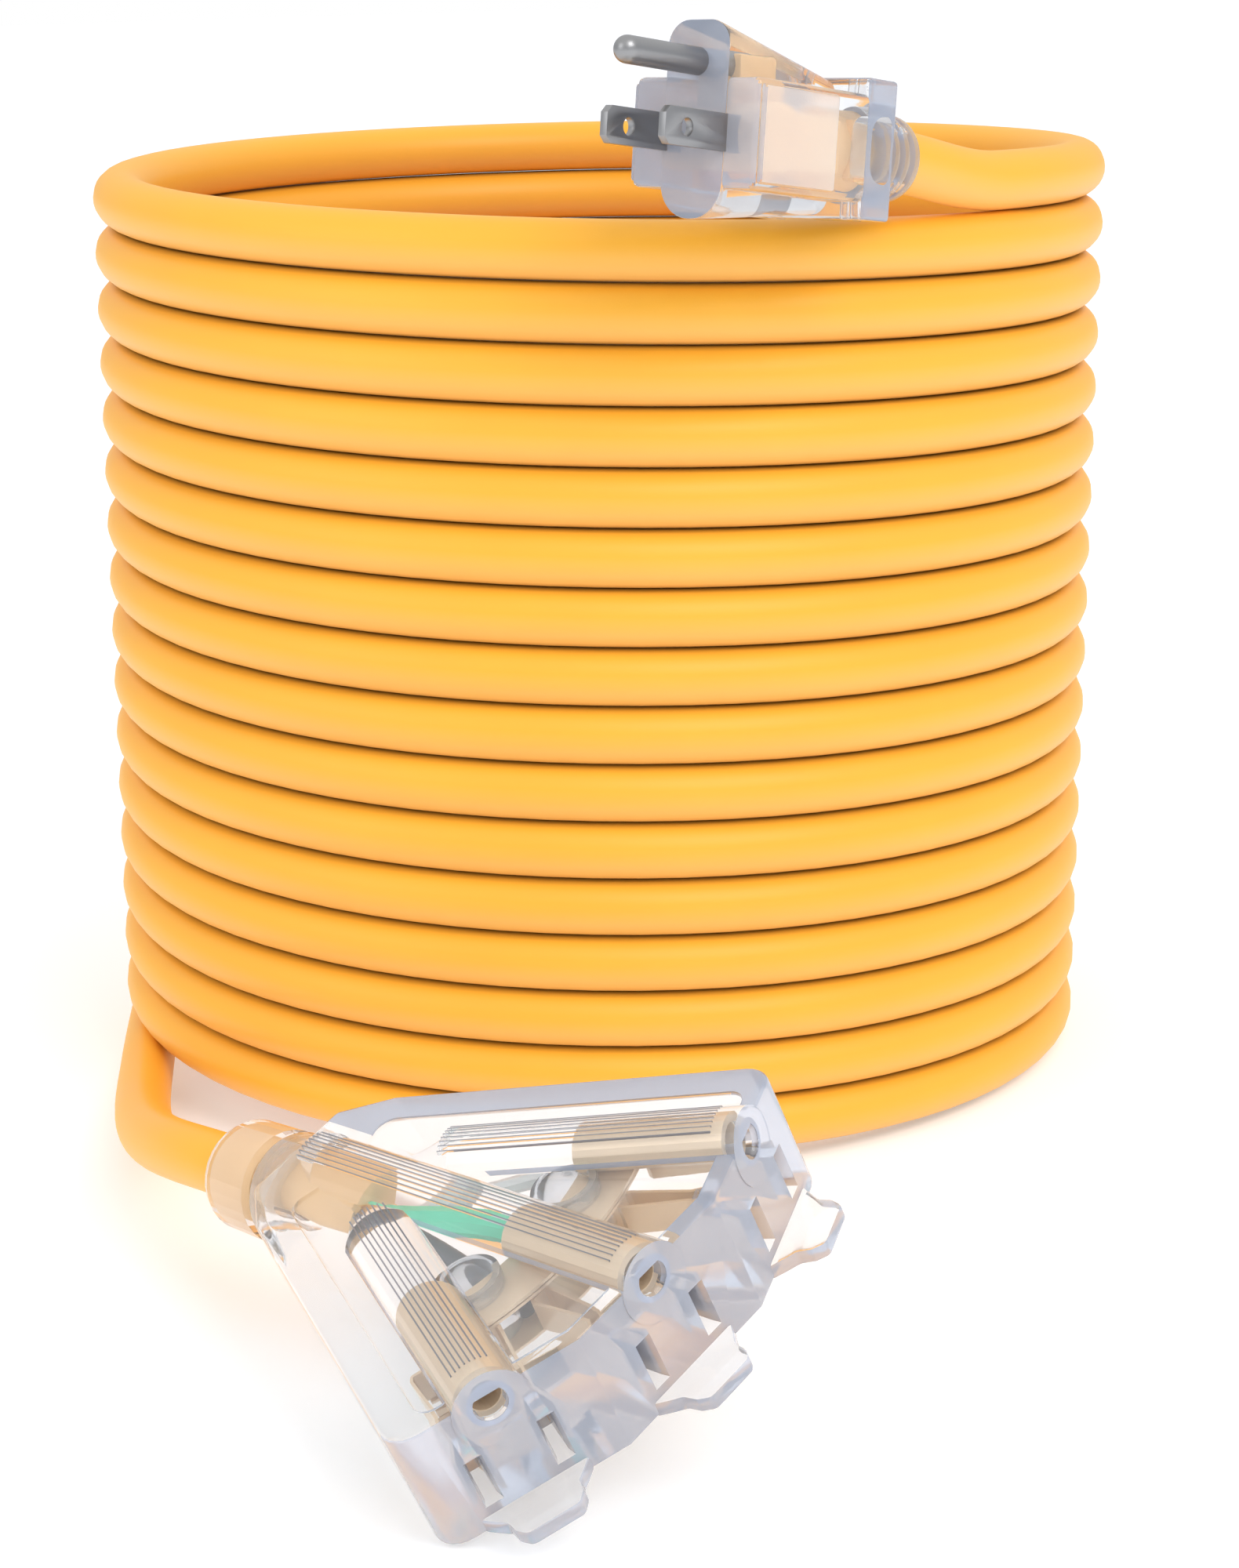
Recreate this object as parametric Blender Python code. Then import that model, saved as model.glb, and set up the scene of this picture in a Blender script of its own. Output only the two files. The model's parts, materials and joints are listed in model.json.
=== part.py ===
"""Heavy-duty extension cord, wound for storage: a three-pin plug, a
triple-outlet fan connector and one long 3-conductor cord in a single-layer
upright coil.  Metres, +Z up.  The coil stands on z = 0 and the connector lies
in front of it; the origin is the bottom centre of the whole object.
"""
import math

import bmesh
import bpy
from mathutils import Matrix, Vector

# ------------------------------------------------------------ dimensions (m)
GAP = 0.0003                 # clearance kept between touching solids

# cord and coil
CORD_D = 0.0115              # 10/3 round jacketed cord
COIL_R = 0.10145             # axis of the coil to the middle of a turn
COIL_PITCH = CORD_D          # turns lie against each other
COIL_START_DEG = 50.0 - 360  # where the plug's lead leaves, from the front
COIL_END_DEG = 16 * 360 - 86.0    # where the connector's lead leaves
COIL_FOOT = 0.002875         # the helix's foot, above the plane it leans on
COIL_LEAN_DEG = 1.92         # a helix stands on its last turn, so it leans
COIL_LEAN_AXIS = (0.5344, 0.8452, 0.0)
AXIS_XY = (-0.0027, 0.0809)      # foot of the coil's axis

# plug (NEMA 5-15P prongs); local x forward, y across the blades, z to earth
PLUG_FACE = (0.0194, -0.0612, 0.2045)
PLUG_HEADING_DEG = 50.0 + 180.0
PLUG_RISE_DEG = 7.9
PLUG_ROLL_DEG = 0.0
BLADE_SPACING = 0.0127
BLADE_H = 0.00635
BLADE_T = 0.00152
BLADE_L = 0.0165
BLADE_HOLE_X = 0.0106
BLADE_HOLE_R = 0.00155
PIN_OFFSET = 0.0119
PIN_R = 0.00238
PIN_L = 0.0214
PLUG_L = 0.0405
PLUG_W = 0.0136              # half width of the blade wings
PLUG_H = 0.0094              # half height of the blade wings
LOBE_W = 0.0068              # half width of the upright lobe
LOBE_TOP = 0.0190
LOBE_LOW = 0.0147
FLANGE_W = 0.0138
FLANGE_H = 0.0123
FLANGE_T = 0.0087
WIRE_R = 0.0019
JACKET_R = CORD_D / 2

# connector (three NEMA 5-15R outlets in a fan); local x forward, y across,
# z to the earth side; the three outlet axes meet at the local origin
TAP_AT = (-0.0429, -0.1081, 0.0248)
TAP_HEADING_DEG = -47.6
TAP_RISE_DEG = 2.0
TAP_ROLL_DEG = 25.0
FAN_DEG = 23.2
FACE_RHO = 0.0789            # fan origin to each outlet face
BLOCK_T = 0.020
SIDE_OFF = 0.0165            # side walls, from the outer outlets' axes
TAP_LOW = -0.0090
TAP_TOP = 0.0142
WALL = 0.0023
NECK_Z = 0.00265
NECK_R = 0.0105
HUMP_R = 0.0066
HUMP_Z = 0.0110
SLEEVE_R = 0.0043
SLEEVE_BORE = 0.0027

for o in list(bpy.data.objects):
    bpy.data.objects.remove(o, do_unlink=True)
SCENE = bpy.context.scene.collection


# ------------------------------------------------------------------- helpers
def material(name, colour, rough, metal=0.0, transmission=0.0):
    m = bpy.data.materials.new(name)
    m.use_nodes = True
    b = m.node_tree.nodes["Principled BSDF"]
    b.inputs["Base Color"].default_value = (*colour, 1.0)
    b.inputs["Roughness"].default_value = rough
    b.inputs["Metallic"].default_value = metal
    b.inputs["Transmission Weight"].default_value = transmission
    return m


def place(ob, parent=None, mat=None):
    if ob.name not in SCENE.objects:
        SCENE.objects.link(ob)
    if parent:
        ob.parent = parent
    if mat:
        ob.data.materials.clear()
        ob.data.materials.append(mat)
    return ob


def from_bmesh(bm, name, parent=None, mat=None, smooth=None):
    bmesh.ops.recalc_face_normals(bm, faces=bm.faces)
    me = bpy.data.meshes.new(name)
    bm.to_mesh(me)
    bm.free()
    if smooth:
        me.shade_smooth()
        me.set_sharp_from_angle(angle=math.radians(smooth))
    return place(bpy.data.objects.new(name, me), parent, mat)


def loft(name, rings, parent=None, mat=None, smooth=None):
    """Closed skin through rings of equal point count, with flat end caps."""
    bm = bmesh.new()
    loops = [[bm.verts.new(p) for p in ring] for ring in rings]
    n = len(loops[0])
    for a, b in zip(loops, loops[1:]):
        for i in range(n):
            j = (i + 1) % n
            bm.faces.new((a[i], a[j], b[j], b[i]))
    bm.faces.new(loops[0][::-1])
    bm.faces.new(loops[-1])
    return from_bmesh(bm, name, parent, mat, smooth)


def prism_z(name, outline, z0, z1, parent=None, mat=None):
    return loft(name, [[(x, y, z0) for x, y in outline],
                       [(x, y, z1) for x, y in outline]], parent, mat)


def prism_x(name, outline, x0, x1, parent=None, mat=None, outline1=None):
    return loft(name, [[(x0, y, z) for y, z in outline],
                       [(x1, y, z) for y, z in (outline1 or outline)]],
                parent, mat)


def prism_y(name, outline, y0, y1, parent=None, mat=None):
    return loft(name, [[(x, y0, z) for x, z in outline],
                       [(x, y1, z) for x, z in outline]], parent, mat)


def box(name, x, y, z, parent=None, mat=None):
    return prism_z(name, [(x[0], y[0]), (x[1], y[0]), (x[1], y[1]),
                          (x[0], y[1])], z[0], z[1], parent, mat)


def turned(name, profile, parent=None, mat=None, sides=24, yz=(0.0, 0.0),
           smooth=40):
    """Solid of revolution about a line along x; profile is (x, r) from one
    end to the other, and a profile that closes on itself makes a sleeve."""
    rings = []
    for x, r in profile:
        rings.append([(x, yz[0] + r * math.cos(2 * math.pi * k / sides),
                       yz[1] + r * math.sin(2 * math.pi * k / sides))
                      for k in range(sides)])
    if profile[0] != profile[-1]:
        return loft(name, rings, parent, mat, smooth)
    bm = bmesh.new()
    loops = [[bm.verts.new(p) for p in ring] for ring in rings[:-1]]
    for i, a in enumerate(loops):
        b = loops[(i + 1) % len(loops)]
        for k in range(sides):
            m = (k + 1) % sides
            bm.faces.new((a[k], a[m], b[m], b[k]))
    return from_bmesh(bm, name, parent, mat, smooth)


def bevel(ob, width, segments=2, angle=40):
    m = ob.modifiers.new("Bevel", "BEVEL")
    m.width = width
    m.segments = segments
    m.limit_method = "ANGLE"
    m.angle_limit = math.radians(angle)
    return ob


def combine(ob, other, operation="DIFFERENCE"):
    m = ob.modifiers.new(operation.title(), "BOOLEAN")
    m.operation = operation
    m.solver = "EXACT"
    m.object = other
    other.hide_render = True
    other.display_type = "WIRE"
    return ob


def rounded(pts, radii, steps=4):
    """2-D outline with each corner replaced by a short arc."""
    out = []
    n = len(pts)
    for i in range(n):
        p, a, b = Vector(pts[i]), Vector(pts[i - 1]), Vector(pts[(i + 1) % n])
        r = radii[i] if isinstance(radii, (list, tuple)) else radii
        if r <= 0:
            out.append(tuple(p))
            continue
        d0, d1 = (a - p).normalized(), (b - p).normalized()
        half = d0.angle(d1) / 2
        cut = r / math.tan(half)
        centre = p + (d0 + d1).normalized() * (r / math.sin(half))
        s, e = p + d0 * cut - centre, p + d1 * cut - centre
        a0 = math.atan2(s.y, s.x)
        turn = (math.atan2(e.y, e.x) - a0 + math.pi) % (2 * math.pi) - math.pi
        for k in range(steps + 1):
            t = a0 + turn * k / steps
            out.append((centre.x + r * math.cos(t), centre.y + r * math.sin(t)))
    return out


def bezier(p0, d0, p1, d1, n):
    """Cubic from p0 (leaving along d0) to p1 (arriving along d1)."""
    p0, p1, d0, d1 = Vector(p0), Vector(p1), Vector(d0), Vector(d1)
    a, b = p0 + d0, p1 - d1
    pts = []
    for i in range(n + 1):
        t = i / n
        s = 1 - t
        pts.append(p0 * s**3 + a * 3 * s * s * t + b * 3 * s * t * t
                   + p1 * t**3)
    return pts


def tube(name, pts, r, parent=None, mat=None, resolution=2):
    cu = bpy.data.curves.new(name, "CURVE")
    cu.dimensions = "3D"
    cu.bevel_depth = r
    cu.bevel_resolution = resolution
    cu.use_fill_caps = True
    sp = cu.splines.new("POLY")
    sp.points.add(len(pts) - 1)
    for q, p in zip(sp.points, pts):
        q.co = (*p, 1.0)
    return place(bpy.data.objects.new(name, cu), parent, mat)


def pipe(name, pts, r, sides=14):
    """Closed mesh tube through pts, to cut a way with."""
    rings = []
    side = None
    for i, p in enumerate(pts):
        t = (pts[min(i + 1, len(pts) - 1)] - pts[max(i - 1, 0)]).normalized()
        side = (side if side else Vector((0, 0, 1))).cross(t).cross(t)
        side = -side.normalized()
        other = t.cross(side)
        rings.append([p + r * (side * math.cos(2 * math.pi * k / sides)
                               + other * math.sin(2 * math.pi * k / sides))
                      for k in range(sides)])
    return loft(name, rings)


def frame_empty(name, at, heading, rise, roll):
    """Empty whose x points along heading/rise and which is rolled about x."""
    e = bpy.data.objects.new(name, None)
    SCENE.objects.link(e)
    e.matrix_world = (Matrix.Translation(at)
                      @ Matrix.Rotation(math.radians(heading), 4, "Z")
                      @ Matrix.Rotation(math.radians(-rise), 4, "Y")
                      @ Matrix.Rotation(math.radians(roll), 4, "X"))
    return e


CLEAR = material("clear_vinyl", (0.70, 0.75, 0.82), 0.08, 0.0, 0.9)
INSERT = material("insert_nylon", (0.74, 0.62, 0.46), 0.35)
STEEL = material("nickel_plate", (0.52, 0.52, 0.53), 0.25, 1.0)
BRASS = material("brass", (0.72, 0.58, 0.36), 0.30, 1.0)
YELLOW = material("cord_jacket", (1.0, 0.55, 0.05), 0.38)
GREEN = material("earth_insulation", (0.25, 0.80, 0.52), 0.40)
BLACK = material("hot_insulation", (0.16, 0.16, 0.18), 0.40)
WHITE = material("neutral_insulation", (0.86, 0.86, 0.86), 0.40)

plug = frame_empty("plug_frame", PLUG_FACE, PLUG_HEADING_DEG, PLUG_RISE_DEG,
                   PLUG_ROLL_DEG)
tap = frame_empty("connector_frame", TAP_AT, TAP_HEADING_DEG, TAP_RISE_DEG,
                  TAP_ROLL_DEG)

# ---------------------------------------------------------------------- plug
REAR = -PLUG_L
RELIEF_END = -0.0575
HALF = BLADE_SPACING / 2


def lobe(half, low, top, r):
    return rounded([(-half, low), (half, low), (half, top), (-half, top)],
                   [r, r, r * 0.72, r * 0.72], 5)


body = prism_x("plug_body", lobe(LOBE_W + 0.0002, -FLANGE_H + 0.0002,
                                 FLANGE_H - 0.0002, 0.0045),
               REAR + FLANGE_T - 0.0005, 0.0, plug, CLEAR,
               lobe(LOBE_W, -LOBE_LOW, LOBE_TOP, 0.0062))
wings = bevel(box("wings_guide", (REAR + 0.004, -0.00015),
                  (-PLUG_W, PLUG_W), (-PLUG_H, PLUG_H), plug), 0.0011)
flange = bevel(box("flange_guide", (REAR, REAR + FLANGE_T),
                   (-FLANGE_W, FLANGE_W), (-FLANGE_H, FLANGE_H), plug), 0.0008)
combine(body, wings, "UNION")
combine(body, flange, "UNION")
for side in (-1, 1):
    y = side * PLUG_W
    grip = bevel(box(f"grip_guide_{side}", (-0.0225, -0.0010),
                     (y - 0.0010, y + 0.0009), (-0.0084, 0.0084), plug),
                 0.0007)
    combine(body, grip, "UNION")
# room for the blade holder, the crimps and the splayed conductors
combine(body, box("holder_room", (-0.0300, -0.0022), (-0.0098, 0.0098),
                  (-0.0052, 0.0052), plug))
combine(body, prism_y("earth_room", [(-0.0022, -0.0045), (-0.0022, 0.0158),
                                     (-0.0123, 0.0150), (-0.0200, 0.0136),
                                     (-0.0330, 0.0062), (-0.0330, -0.0045)],
                      -0.0047, 0.0047, plug))
combine(body, turned("jacket_bore", [(-0.0370, JACKET_R + GAP),
                                     (-0.0290, JACKET_R + GAP)], plug))
combine(body, turned("relief_bore", [(-0.0470, 0.0077), (-0.0365, 0.0077)],
                     plug))
for y in (HALF, -HALF):
    combine(body, box(f"blade_slot_{y:+.3f}", (-0.0040, 0.0020),
                      (y - BLADE_T / 2 - GAP, y + BLADE_T / 2 + GAP),
                      (-BLADE_H / 2 - GAP, BLADE_H / 2 + GAP), plug))
combine(body, turned("pin_hole", [(-0.0040, PIN_R + GAP),
                                  (0.0020, PIN_R + GAP)], plug,
                     yz=(0.0, PIN_OFFSET)))

holder = prism_x("plug_blade_holder",
                 [(-0.0095, -0.0049), (0.0095, -0.0049), (0.0095, 0.0049),
                  (0.0044, 0.0049), (0.0044, 0.0136), (-0.0044, 0.0136),
                  (-0.0044, 0.0049), (-0.0095, 0.0049)],
                 -0.0120, -0.0025, plug, INSERT)
for name, y in (("plug_blade_hot", HALF), ("plug_blade_neutral", -HALF)):
    combine(holder, box(name + "_way", (-0.0140, 0.0),
                        (y - BLADE_T / 2 - GAP, y + BLADE_T / 2 + GAP),
                        (-BLADE_H / 2 - GAP, BLADE_H / 2 + GAP), plug))
    h, c = BLADE_H / 2, 0.0011
    blade = prism_y(name, [(-0.0122, -h), (BLADE_L - c, -h),
                           (BLADE_L, -h + c), (BLADE_L, h - c),
                           (BLADE_L - c, h), (-0.0122, h)],
                    y - BLADE_T / 2, y + BLADE_T / 2, plug, STEEL)
    eye = turned(name + "_eye", [(-0.004, BLADE_HOLE_R),
                                 (0.004, BLADE_HOLE_R)], plug, sides=20)
    eye.rotation_euler.z = math.pi / 2
    eye.location = (BLADE_HOLE_X, y, 0.0)
    combine(blade, eye)
combine(holder, turned("pin_way", [(-0.0140, PIN_R + GAP),
                                   (0.0, PIN_R + GAP)], plug,
                       yz=(0.0, PIN_OFFSET)))
tip = [(PIN_L - PIN_R * (1 - math.sin(a)), PIN_R * math.cos(a))
       for a in (math.radians(d) for d in (0, 22, 44, 64, 80))]
turned("plug_earth_pin", [(-0.0122, PIN_R)] + tip, plug, STEEL,
       yz=(0.0, PIN_OFFSET))

CRIMPS = (("hot", HALF, 0.0, BLACK, (0.0023, -0.0013)),
          ("neutral", -HALF, 0.0, WHITE, (-0.0023, -0.0013)),
          ("earth", 0.0, 0.0108, GREEN, (0.0, 0.0027)))
for tag, y, z, colour, at in CRIMPS:
    turned(f"plug_crimp_{tag}", [(-0.0125, 0.0017), (-0.0130, 0.0022),
                                 (-0.0180, 0.0022), (-0.0185, 0.0019)],
           plug, BRASS, sides=16, yz=(y, z))
    tube(f"plug_wire_{tag}",
         bezier((-0.0188, y, z), (-0.0055, 0, 0), (-0.0312, *at),
                (-0.0050, 0, 0), 10), WIRE_R, plug, colour)
turned("plug_jacket_end", [(RELIEF_END, JACKET_R), (-0.0315, JACKET_R)],
       plug, YELLOW)
RIB = []
for i in range(4):
    x = -0.0455 - 0.0031 * i
    r = 0.0086 - 0.00025 * i
    RIB += [(x, r), (x - 0.0018, r - 0.0001), (x - 0.0018, r - 0.0012),
            (x - 0.0031, r - 0.0013)]
RIB = RIB[:-2] + [(RELIEF_END, 0.0066)]
turned("plug_strain_relief",
       [(-0.0369, JACKET_R + GAP), (-0.0369, 0.0074), (-0.0453, 0.0074),
        (-0.0453, 0.0084)] + RIB + [(RELIEF_END, JACKET_R + GAP),
                                    (-0.0369, JACKET_R + GAP)],
       plug, CLEAR, sides=28, smooth=30)

# ----------------------------------------------------------------- connector
FAN = math.radians(FAN_DEG)
RIM = FACE_RHO / math.cos(FAN / 2)


def along(angle, x, y):
    """Point x ahead and y across, in the frame of the outlet at angle."""
    return (x * math.cos(angle) - y * math.sin(angle),
            x * math.sin(angle) + y * math.cos(angle))


def fan_outline(inset, front, back=-0.0100, corner=0.0045, steps=4):
    """Fan plan: neck, straight flanks, three flat outlet faces."""
    s = SIDE_OFF - inset
    rim = front / math.cos(FAN / 2)
    neck = NECK_R - inset
    right = [along(-FAN, front, -s), along(-FAN, 0.0060, -s), (back, -neck)]
    left = [(back, neck), along(FAN, 0.0060, s), along(FAN, front, s)]
    mid = [(rim * math.cos(FAN / 2), rim * math.sin(FAN / 2)),
           (rim * math.cos(FAN / 2), -rim * math.sin(FAN / 2))]
    pts = left + mid + right
    return rounded(pts, [0.0, 0.012, corner, 0.006, 0.006, corner, 0.012,
                         0.0], steps)


SEAM = FACE_RHO - BLOCK_T
shell = bevel(prism_z("tap_shell", fan_outline(0.0, SEAM, corner=0.0),
                      TAP_LOW, TAP_TOP, tap, CLEAR), 0.0012, 2, 60)
neck = turned("neck_guide", [(-0.0172, NECK_R), (-0.0080, NECK_R)], tap,
              yz=(0.0, NECK_Z), sides=28)
combine(shell, neck, "UNION")
HUMPS = []
for k in (-1, 0, 1):
    h = turned(f"hump_guide_{k}", [(0.0160, 0.0020), (0.0230, HUMP_R),
                                   (SEAM, HUMP_R)], tap, sides=28)
    h.matrix_basis = (Matrix.Rotation(FAN * k, 4, "Z")
                      @ Matrix.Translation((0, 0, HUMP_Z)))
    combine(shell, h, "UNION")
    hollow = turned(f"hump_room_{k}", [(0.0260, HUMP_R - 0.0014),
                                       (SEAM + 0.01, HUMP_R - 0.0014)], tap,
                    sides=24)
    hollow.matrix_basis = (Matrix.Rotation(FAN * k, 4, "Z")
                           @ Matrix.Translation((0, 0, HUMP_Z + 0.0005)))
    HUMPS.append(hollow)
combine(shell, prism_z("shell_room", fan_outline(WALL, SEAM + 0.010,
                                                 back=-0.0040, corner=0.0),
                       TAP_LOW + WALL, TAP_TOP - WALL, tap))
for hollow in HUMPS:
    combine(shell, hollow)
combine(shell, turned("neck_bore", [(-0.0190, 0.0083), (-0.0020, 0.0083)],
                      tap, yz=(0.0, NECK_Z), sides=28))

# outlet block: three flat faces, blade slots, earth holes and a ledge each


def block_outline():
    s = SIDE_OFF
    r0, r1 = SEAM + GAP, FACE_RHO
    a0, a1 = r0 / math.cos(FAN / 2), r1 / math.cos(FAN / 2)
    h = FAN / 2
    front = [along(FAN, r1, s), (a1 * math.cos(h), a1 * math.sin(h)),
             (a1 * math.cos(h), -a1 * math.sin(h)), along(-FAN, r1, -s)]
    back = [along(-FAN, r0, -s), (a0 * math.cos(h), -a0 * math.sin(h)),
            (a0 * math.cos(h), a0 * math.sin(h)), along(FAN, r0, s)]
    return rounded(front + back, [0.0045, 0.006, 0.006, 0.0045, 0, 0, 0, 0])


block = bevel(prism_z("tap_outlet_block", block_outline(), TAP_LOW, TAP_TOP,
                      tap, CLEAR), 0.0010, 2, 60)
for k in (-1, 0, 1):
    turn = Matrix.Rotation(FAN * k, 4, "Z")
    h = turned(f"block_hump_{k}", [(SEAM + GAP, HUMP_R),
                                   (FACE_RHO - 0.0012, HUMP_R),
                                   (FACE_RHO, HUMP_R - 0.0010)], tap,
               sides=28)
    h.matrix_basis = turn @ Matrix.Translation((0, 0, HUMP_Z))
    combine(block, h, "UNION")
    tongue = [(FACE_RHO - 0.004, -0.0098), (FACE_RHO - 0.0004, -0.0096),
              (FACE_RHO + 0.0016, -0.0078), (FACE_RHO + 0.0040, -0.0063),
              (FACE_RHO + 0.0068, -0.0057), (FACE_RHO + 0.0083, -0.0040),
              (FACE_RHO + 0.0083, 0.0040), (FACE_RHO + 0.0068, 0.0057),
              (FACE_RHO + 0.0040, 0.0063), (FACE_RHO + 0.0016, 0.0078),
              (FACE_RHO - 0.0004, 0.0096), (FACE_RHO - 0.004, 0.0098)]
    ledge = prism_z(f"ledge_guide_{k}", tongue, TAP_LOW + 0.00002,
                    TAP_LOW + 0.0026, tap)
    ledge.matrix_basis = turn
    combine(block, ledge, "UNION")
    for y in (HALF, -HALF):
        pocket = box(f"pocket_{k}_{y:+.3f}", (SEAM - 0.005, FACE_RHO - 0.0024),
                     (y - 0.0034, y + 0.0034), (-0.0060, 0.0050), tap)
        pocket.matrix_basis = turn
        combine(block, pocket)
        slot = box(f"slot_{k}_{y:+.3f}", (FACE_RHO - 0.004, FACE_RHO + 0.002),
                   (y - 0.0011, y + 0.0011), (-0.0041, 0.0041), tap)
        slot.matrix_basis = turn
        combine(block, slot)
    bore = turned(f"sleeve_way_{k}", [(SEAM - 0.005, SLEEVE_R + GAP),
                                      (FACE_RHO - 0.0024, SLEEVE_R + GAP)],
                  tap, sides=24)
    bore.matrix_basis = turn @ Matrix.Translation((0, 0, PIN_OFFSET))
    combine(block, bore)
    eye = turned(f"earth_hole_{k}", [(FACE_RHO - 0.004, 0.0029),
                                     (FACE_RHO + 0.002, 0.0029)], tap,
                 sides=20)
    eye.matrix_basis = turn @ Matrix.Translation((0, 0, PIN_OFFSET))
    combine(block, eye)

# contacts
for k, tag in ((-1, "a"), (0, "b"), (1, "c")):
    turn = Matrix.Rotation(FAN * k, 4, "Z")
    sleeve = turned(f"tap_earth_sleeve_{tag}",
                    [(0.0490, 0.0020), (0.0490, SLEEVE_R),
                     (FACE_RHO - 0.0027, SLEEVE_R),
                     (FACE_RHO - 0.0027, SLEEVE_BORE),
                     (0.0530, SLEEVE_BORE), (0.0530, 0.0020),
                     (0.0490, 0.0020)], tap, BRASS, sides=24)
    sleeve.matrix_basis = turn @ Matrix.Translation((0, 0, PIN_OFFSET))
    for side, y, z0, z1 in (("hot", -HALF, -0.0053, 0.0036),
                            ("neutral", HALF, -0.0036, 0.0043)):
        x1, x0, t = FACE_RHO - 0.0030, 0.0560, 0.0006
        outer = [(x1, 0.0029), (x1 - 0.007, 0.0014), (x1 - 0.010, 0.0016),
                 (x0 + 0.001, 0.0022), (x0, 0.0016)]
        inner = [(x0 + t, 0.0012), (x0 + 0.0014, 0.0022 - t),
                 (x1 - 0.010, 0.0016 - t), (x1 - 0.007, 0.0014 - t),
                 (x1 - 0.0002, 0.0029 - t)]
        plan = ([(x, v) for x, v in outer] + [(x, -v) for x, v in
                                              reversed(outer)]
                + [(x, -v) for x, v in reversed(inner)]
                + [(x, v) for x, v in inner])
        clip = prism_z(f"tap_clip_{side}_{tag}", [(x, v + y) for x, v in
                                                  plan], z0, z1, tap, BRASS)
        clip.matrix_basis = turn


def arc_plate(name, r0, r1, a0, a1, z0, z1, mat, n=14):
    arc = [a0 + (a1 - a0) * i / n for i in range(n + 1)]
    plan = ([(r1 * math.cos(a), r1 * math.sin(a)) for a in arc]
            + [(r0 * math.cos(a), r0 * math.sin(a)) for a in reversed(arc)])
    return prism_z(name, plan, z0, z1, tap, mat)


REACH = math.radians(30)
arc_plate("tap_bus_hot", 0.0490, 0.0575, -REACH, REACH * 0.83,
          -0.0064, -0.0056, BRASS)
arc_plate("tap_bus_neutral", 0.0490, 0.0575, -REACH * 0.83, REACH,
          0.0046, 0.0054, BRASS)
arc_plate("tap_bus_earth", 0.0475, 0.0580, -REACH * 0.92, REACH * 0.92,
          0.0064, 0.0073, BRASS)
for tag, side in (("right", -1), ("left", 1)):
    turned_post = turned(f"tap_post_{tag}",
                         [(TAP_LOW + WALL + GAP, 0.0026),
                          (TAP_TOP - WALL - GAP, 0.0026)], tap, CLEAR,
                         sides=20)
    turned_post.matrix_basis = (Matrix.Translation((0.0415, side * 0.0105,
                                                    0.0))
                                @ Matrix.Rotation(-math.pi / 2, 4, "Y"))

# cord end inside the neck, its three conductors and the clamp round it
turned("tap_jacket_end", [(-0.0330, JACKET_R), (0.0080, JACKET_R)], tap,
       YELLOW, yz=(0.0, NECK_Z))
for tag, at, to, d1, colour in (
        ("earth", (0.0, NECK_Z + 0.0027), (0.0487, 0.0, PIN_OFFSET),
         (0.012, 0, 0), GREEN),
        ("hot", (-0.0023, NECK_Z - 0.0013), (0.0418, -0.0200, -0.0044),
         (0.012, -0.007, 0), BLACK),
        ("neutral", (0.0023, NECK_Z - 0.0013), (0.0418, 0.0200, 0.0040),
         (0.012, 0.007, 0), WHITE)):
    tube(f"tap_wire_{tag}", bezier((0.0083, *at), (0.012, 0, 0), to, d1, 10),
         WIRE_R, tap, colour)
turned("tap_cord_clamp", [(0.0, JACKET_R + GAP), (0.0, 0.0075),
                          (0.0045, 0.0075), (0.0045, JACKET_R + GAP),
                          (0.0, JACKET_R + GAP)], tap, INSERT,
       yz=(0.0, NECK_Z))
turned("tap_strain_relief",
       [(-0.0105, JACKET_R + GAP), (-0.0105, 0.0080), (-0.0195, 0.0080),
        (-0.0195, 0.0103), (-0.0300, 0.0101), (-0.0318, 0.0092),
        (-0.0330, 0.0078), (-0.0330, JACKET_R + GAP),
        (-0.0105, JACKET_R + GAP)], tap, CLEAR, yz=(0.0, NECK_Z), sides=28,
       smooth=30)

# ---------------------------------------------------------------------- cord
LEAN = Matrix.Rotation(math.radians(COIL_LEAN_DEG), 3,
                       Vector(COIL_LEAN_AXIS))
FOOT = Vector((*AXIS_XY, 0.0))
A0, A1 = math.radians(COIL_START_DEG), math.radians(COIL_END_DEG)
LAST = math.radians(16 * 360 - 90.0)


def turn_height(a):
    return CORD_D / 2 - COIL_FOOT + COIL_PITCH * (LAST - a) / (2 * math.pi)


def wound(a, radius=COIL_R, lift=0.0):
    """Point of the helix at angle a from the front, going down."""
    return FOOT + LEAN @ Vector((radius * math.sin(a), -radius * math.cos(a),
                                 turn_height(a) + lift))


def heading(a):
    return (wound(a + 0.001) - wound(a - 0.001)).normalized()


def profile(a):
    """Cross-section of the wound stack below the top turn at angle a."""
    h = CORD_D / 2
    ring = []
    for dr, dz in ((-h, 0.0012), (-0.0041, 0.0041), (-0.0012, h),
                   (0.0012, h), (0.0041, 0.0041), (h, 0.0012)):
        ring.append(wound(a, COIL_R + dr, dz))
    for dr in (h, -h):
        p = wound(a, COIL_R + dr, 0.0)
        up = LEAN @ Vector((0, 0, 1))
        ring.append(p - up * (p.z / up.z))
    return ring


STEPS = 72
slit = math.radians(0.25)
coil = loft("cord_coil", [profile(A0 + slit + (2 * math.pi - 2 * slit)
                                  * i / STEPS) for i in range(STEPS + 1)],
            None, YELLOW, 40)

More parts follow.
